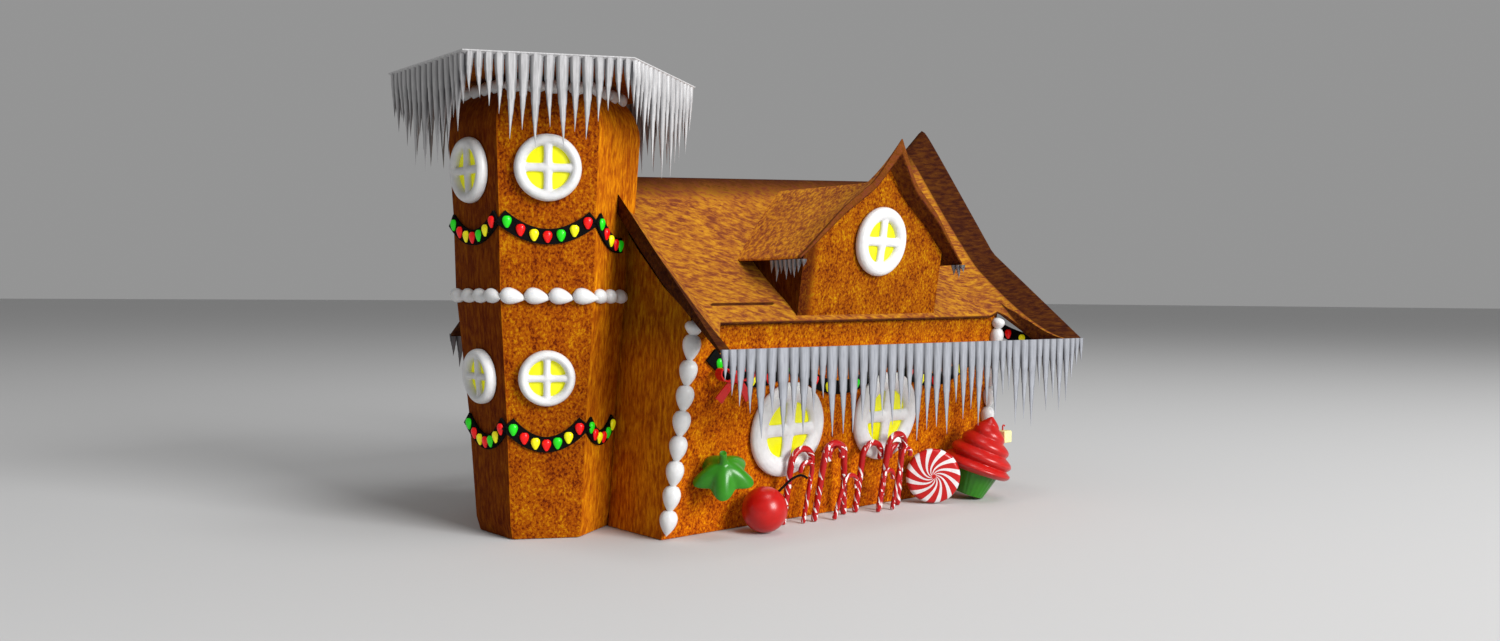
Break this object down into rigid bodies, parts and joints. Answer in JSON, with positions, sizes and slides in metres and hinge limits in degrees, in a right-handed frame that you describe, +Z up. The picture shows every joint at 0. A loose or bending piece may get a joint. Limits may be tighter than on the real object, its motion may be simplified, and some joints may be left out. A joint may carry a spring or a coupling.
{
  "type": "gingerbread house",
  "caption": "Festive gingerbread house with a turret, round iced windows, icing icicles, candy canes and sweets along its front.",
  "frame": {"origin": "centre of the footprint of the house's walls, on the surface it stands on", "axes": "+Z up, +X along the ridge from the turret to the free gable, -Y out of the front wall"},
  "size_m": [0.4279, 0.301, 0.2765],
  "materials": {
    "gingerbread": "baked, speckled orange-brown crumb",
    "icing": "white royal icing, smooth",
    "ice_sugar": "pale grey-blue drawn icing icicles",
    "sugar_glass": "bright yellow poured sugar",
    "garland": "black lace with glossy coloured sugar bulbs",
    "bow": "red fondant ribbon",
    "candy_cane": "red sugar with white twisted stripes",
    "red_ball": "glossy red sugar shell with a black stalk",
    "peppermint": "red and white swirled boiled sugar",
    "red_swirl": "soft red frosting",
    "green_cup": "green pleated cup",
    "green_leaf": "glossy green fondant",
    "marshmallow": "pale yellow, dusted"
  },
  "bodies": {
    "root": {"bow_back": "bow", "bow_front": "bow", "cane_a": "candy_cane", "cane_b": "candy_cane", "cane_c": "candy_cane", "cane_d": "candy_cane", "cane_e": "candy_cane", "cane_f": "candy_cane", "cane_g": "candy_cane", "cane_h": "candy_cane", "cane_i": "candy_cane", "cane_j": "candy_cane", "cherry_ball": "red_ball", "cupcake_cup": "green_cup", "cupcake_swirl": "red_swirl", "dormer_roof": "gingerbread", "dormer_walls": "gingerbread", "garland_back": "garland", "garland_front": "garland", "garland_gable": "garland", "garland_tower_high": "garland", "garland_tower_low": "garland", "holly_leaf": "green_leaf", "house_walls": "gingerbread", "icicles_back": "ice_sugar", "icicles_front": "ice_sugar", "icicles_tower": "ice_sugar", "main_roof": "gingerbread", "marshmallow": "marshmallow", "peppermint": "peppermint", "piping_back_left": "icing", "piping_back_right": "icing", "piping_front_left": "icing", "piping_front_right": "icing", "piping_tower_band": "icing", "piping_tower_crown": "icing", "tower_roof": "gingerbread", "tower_walls": "gingerbread", "window_back_left_frame": "icing", "window_back_left_pane": "sugar_glass", "window_back_right_frame": "icing", "window_back_right_pane": "sugar_glass", "window_dormer_frame": "icing", "window_dormer_pane": "sugar_glass", "window_front_left_frame": "icing", "window_front_left_pane": "sugar_glass", "window_front_right_frame": "icing", "window_front_right_pane": "sugar_glass", "window_tower_front_high_frame": "icing", "window_tower_front_high_pane": "sugar_glass", "window_tower_front_low_frame": "icing", "window_tower_front_low_pane": "sugar_glass", "window_tower_rear_high_frame": "icing", "window_tower_rear_high_pane": "sugar_glass", "window_tower_rear_low_frame": "icing", "window_tower_rear_low_pane": "sugar_glass", "window_tower_side_high_frame": "icing", "window_tower_side_high_pane": "sugar_glass", "window_tower_side_low_frame": "icing", "window_tower_side_low_pane": "sugar_glass"}
  },
  "joints": []
}
